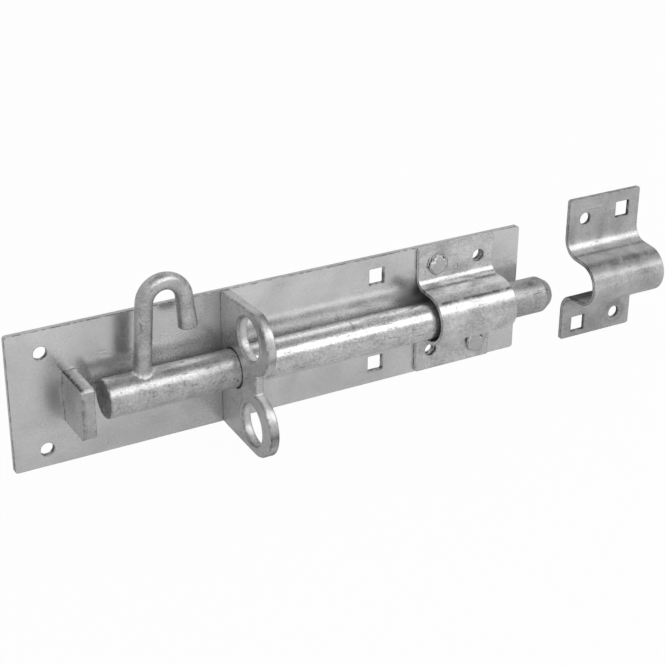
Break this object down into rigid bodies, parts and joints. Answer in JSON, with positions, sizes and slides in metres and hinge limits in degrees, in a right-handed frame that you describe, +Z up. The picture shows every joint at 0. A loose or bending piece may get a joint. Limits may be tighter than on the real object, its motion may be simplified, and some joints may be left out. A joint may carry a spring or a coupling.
{
  "type": "padbolt",
  "caption": "Galvanised gate padbolt: round bar bolt on a long backplate, hooked handle, twin padlock eyes, folded guide strap and separate keeper.",
  "frame": {"origin": "centre of the backplate's back face, which lies on the gate", "axes": "+X along the bolt towards its tip and the keeper, +Z up, +Y into the gate, so that the front of the padbolt faces -Y"},
  "size_m": [0.3604, 0.0534, 0.096],
  "materials": {
    "zinc_sheet": "bright zinc on sheet and strip, semi-gloss, faintly clouded, with fine scratches",
    "zinc_bar": "bright zinc on drawn bar, glossy along the top, with small dark pits and drawing marks",
    "zinc_forging": "bright zinc on punched flat bar, semi-gloss, with brighter worn edges and dark specks",
    "zinc_weld": "zinc over a small weld bead, uneven and semi-gloss"
  },
  "bodies": {
    "fixed_parts": {"backplate": "zinc_sheet", "stop_plate": "zinc_forging", "staple_plate": "zinc_forging", "bolt_guide": "zinc_sheet", "guide_rivet_upper": "zinc_bar", "guide_rivet_lower": "zinc_bar", "keeper": "zinc_sheet"},
    "sliding_bolt": {"bolt_bar": "zinc_bar"},
    "turning_handle": {"handle": "zinc_bar", "handle_weld": "zinc_weld"}
  },
  "joints": [
    {"name": "bolt_slide", "type": "slide", "parent": "fixed_parts", "child": "sliding_bolt", "axis": [1, 0, 0], "range_m": [-0.0075, 0.0175]},
    {"name": "handle_turn", "type": "hinge", "parent": "sliding_bolt", "child": "turning_handle", "pos_m": [-0.0797, -0.0157, 0], "axis": [1, 0, 0], "range_deg": [-10, 190]}
  ]
}
